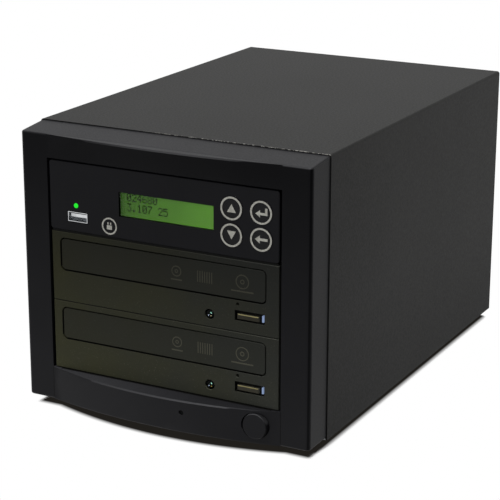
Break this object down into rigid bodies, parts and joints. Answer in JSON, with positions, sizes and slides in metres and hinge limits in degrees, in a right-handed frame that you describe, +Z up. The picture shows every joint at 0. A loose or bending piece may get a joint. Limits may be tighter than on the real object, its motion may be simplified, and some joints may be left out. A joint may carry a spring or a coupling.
{
  "type": "disc duplicator tower",
  "caption": "Desktop disc duplicator: steel case, bowed front bezel, control panel with display and keys, tray-loading disc drives, rear fans, inlet and switch.",
  "frame": {"origin": "on the surface it stands on, under the middle of its overall length and width", "axes": "+X to the right seen from the front, +Y to the back, +Z up; the bezel faces -Y"},
  "size_m": [0.1882, 0.301, 0.1716],
  "materials": {
    "bezel_plastic": "satin moulded",
    "panel_plastic": "satin moulded",
    "key_plastic": "satin, with a pale printed rim",
    "faceplate_plastic": "fine matt texture",
    "tray_plastic": "moulded",
    "cover_paint": "fine textured powder coat",
    "chassis_steel": "zinc-plated sheet",
    "drive_steel": "zinc-plated sheet",
    "screw_steel": "plated",
    "foot_rubber": "matt",
    "lamp_green": "clear tinted",
    "lens_clear": "clear",
    "display_glass": "clear",
    "display_frame": "black, with a lit green field",
    "board_laminate": "solder-masked board",
    "mechanism_plastic": "moulded",
    "gear_plastic": "natural",
    "spindle_steel": "turned",
    "port_steel": "bright",
    "fan_plastic": "moulded",
    "guard_chrome": "bright wire",
    "inlet_plastic": "moulded",
    "rocker_plastic": "moulded",
    "cable_sheath": "sheath"
  },
  "bodies": {
    "case": {"front_bezel": "bezel_plastic", "front_plate": "chassis_steel", "base_pan": "chassis_steel", "rubber_feet": "foot_rubber", "rear_panel": "chassis_steel", "top_cover": "cover_paint", "left_bay_bracket": "chassis_steel", "right_bay_bracket": "chassis_steel", "drive_screws": "screw_steel", "case_screws": "screw_steel", "power_switch": "mechanism_plastic", "status_lamps": "lamp_green", "disc_clamps": "drive_steel", "control_panel": "panel_plastic", "display_window": "display_glass", "display_module": "display_frame", "key_board": "board_laminate", "memory_port": "port_steel", "controller_shelf": "chassis_steel", "controller_board": "board_laminate", "psu_case": "chassis_steel", "psu_board": "board_laminate", "power_inlet": "inlet_plastic", "rocker_frame": "inlet_plastic", "psu_fan_frame": "fan_plastic", "case_fan_frame": "fan_plastic", "fan_guards": "guard_chrome", "inner_cables": "cable_sheath", "upper_faceplate": "faceplate_plastic", "upper_drive_casing": "drive_steel", "upper_drive_lenses": "lens_clear", "upper_mechanism_deck": "mechanism_plastic", "upper_drive_board": "board_laminate", "lower_faceplate": "faceplate_plastic", "lower_drive_casing": "drive_steel", "lower_drive_lenses": "lens_clear", "lower_mechanism_deck": "mechanism_plastic", "lower_drive_board": "board_laminate"},
    "upper_tray_unit": {"upper_tray": "tray_plastic", "upper_tray_door": "faceplate_plastic"},
    "upper_pinion": {"upper_loading_pinion": "gear_plastic"},
    "upper_eject": {"upper_eject_button": "faceplate_plastic"},
    "upper_spindle": {"upper_turntable": "spindle_steel"},
    "upper_sled": {"upper_pickup_sled": "mechanism_plastic"},
    "upper_screw": {"upper_lead_screw": "spindle_steel"},
    "lower_tray_unit": {"lower_tray": "tray_plastic", "lower_tray_door": "faceplate_plastic"},
    "lower_pinion": {"lower_loading_pinion": "gear_plastic"},
    "lower_eject": {"lower_eject_button": "faceplate_plastic"},
    "lower_spindle": {"lower_turntable": "spindle_steel"},
    "lower_sled": {"lower_pickup_sled": "mechanism_plastic"},
    "lower_screw": {"lower_lead_screw": "spindle_steel"},
    "up": {"up_key": "key_plastic"},
    "down": {"down_key": "key_plastic"},
    "enter": {"enter_key": "key_plastic"},
    "back": {"back_key": "key_plastic"},
    "power": {"power_button": "bezel_plastic"},
    "rocker": {"power_rocker": "rocker_plastic"},
    "psu_rotor": {"psu_fan_rotor": "fan_plastic"},
    "case_rotor": {"case_fan_rotor": "fan_plastic"}
  },
  "joints": [
    {"name": "upper_tray_slide", "type": "slide", "parent": "case", "child": "upper_tray_unit", "axis": [0, -1, 0], "range_m": [0, 0.138]},
    {"name": "upper_pinion_spin", "type": "hinge", "parent": "case", "child": "upper_pinion", "pos_m": [-0.05227, -0.1185, 0.0849], "axis": [0, 0, 1], "range_deg": [0, 1382]},
    {"name": "upper_eject_press", "type": "slide", "parent": "case", "child": "upper_eject", "axis": [0, 1, 0], "range_m": [0, 0.001], "stiffness_N_per_m": 900},
    {"name": "upper_turntable_spin", "type": "hinge", "parent": "case", "child": "upper_spindle", "pos_m": [0, -0.0691, 0.0919], "axis": [0, 0, 1], "continuous": true},
    {"name": "upper_sled_slide", "type": "slide", "parent": "case", "child": "upper_sled", "axis": [0, 1, 0], "range_m": [0, 0.034]},
    {"name": "upper_screw_turn", "type": "hinge", "parent": "case", "child": "upper_screw", "pos_m": [0.028, -0.0571, 0.0869], "axis": [0, 1, 0], "range_deg": [0, 4082]},
    {"name": "lower_tray_slide", "type": "slide", "parent": "case", "child": "lower_tray_unit", "axis": [0, -1, 0], "range_m": [0, 0.138]},
    {"name": "lower_pinion_spin", "type": "hinge", "parent": "case", "child": "lower_pinion", "pos_m": [-0.05227, -0.1185, 0.0426], "axis": [0, 0, 1], "range_deg": [0, 1382]},
    {"name": "lower_eject_press", "type": "slide", "parent": "case", "child": "lower_eject", "axis": [0, 1, 0], "range_m": [0, 0.001], "stiffness_N_per_m": 900},
    {"name": "lower_turntable_spin", "type": "hinge", "parent": "case", "child": "lower_spindle", "pos_m": [0, -0.0691, 0.0496], "axis": [0, 0, 1], "continuous": true},
    {"name": "lower_sled_slide", "type": "slide", "parent": "case", "child": "lower_sled", "axis": [0, 1, 0], "range_m": [0, 0.034]},
    {"name": "lower_screw_turn", "type": "hinge", "parent": "case", "child": "lower_screw", "pos_m": [0.028, -0.0571, 0.0446], "axis": [0, 1, 0], "range_deg": [0, 4082]},
    {"name": "up_key_press", "type": "slide", "parent": "case", "child": "up", "axis": [0, 1, 0], "range_m": [0, 0.0007], "stiffness_N_per_m": 1500},
    {"name": "down_key_press", "type": "slide", "parent": "case", "child": "down", "axis": [0, 1, 0], "range_m": [0, 0.0007], "stiffness_N_per_m": 1500},
    {"name": "enter_key_press", "type": "slide", "parent": "case", "child": "enter", "axis": [0, 1, 0], "range_m": [0, 0.0007], "stiffness_N_per_m": 1500},
    {"name": "back_key_press", "type": "slide", "parent": "case", "child": "back", "axis": [0, 1, 0], "range_m": [0, 0.0007], "stiffness_N_per_m": 1500},
    {"name": "power_button_press", "type": "slide", "parent": "case", "child": "power", "axis": [0, 1, 0], "range_m": [0, 0.0025], "stiffness_N_per_m": 900},
    {"name": "power_rocker_tilt", "type": "hinge", "parent": "case", "child": "rocker", "pos_m": [0.034, 0.141, 0.1221], "axis": [-1, 0, 0], "range_deg": [0, 18]},
    {"name": "psu_fan_spin", "type": "hinge", "parent": "case", "child": "psu_rotor", "pos_m": [-0.025, 0.135, 0.13685], "axis": [0, 1, 0], "continuous": true},
    {"name": "case_fan_spin", "type": "hinge", "parent": "case", "child": "case_rotor", "pos_m": [-0.0383, 0.131, 0.0558], "axis": [0, 1, 0], "continuous": true}
  ],
  "couplings": [
    {"joint": "upper_pinion_spin", "follows": "upper_tray_slide", "rad_per_m": 174.53},
    {"joint": "upper_screw_turn", "follows": "upper_sled_slide", "rad_per_m": 2094.4},
    {"joint": "lower_pinion_spin", "follows": "lower_tray_slide", "rad_per_m": 174.53},
    {"joint": "lower_screw_turn", "follows": "lower_sled_slide", "rad_per_m": 2094.4}
  ]
}
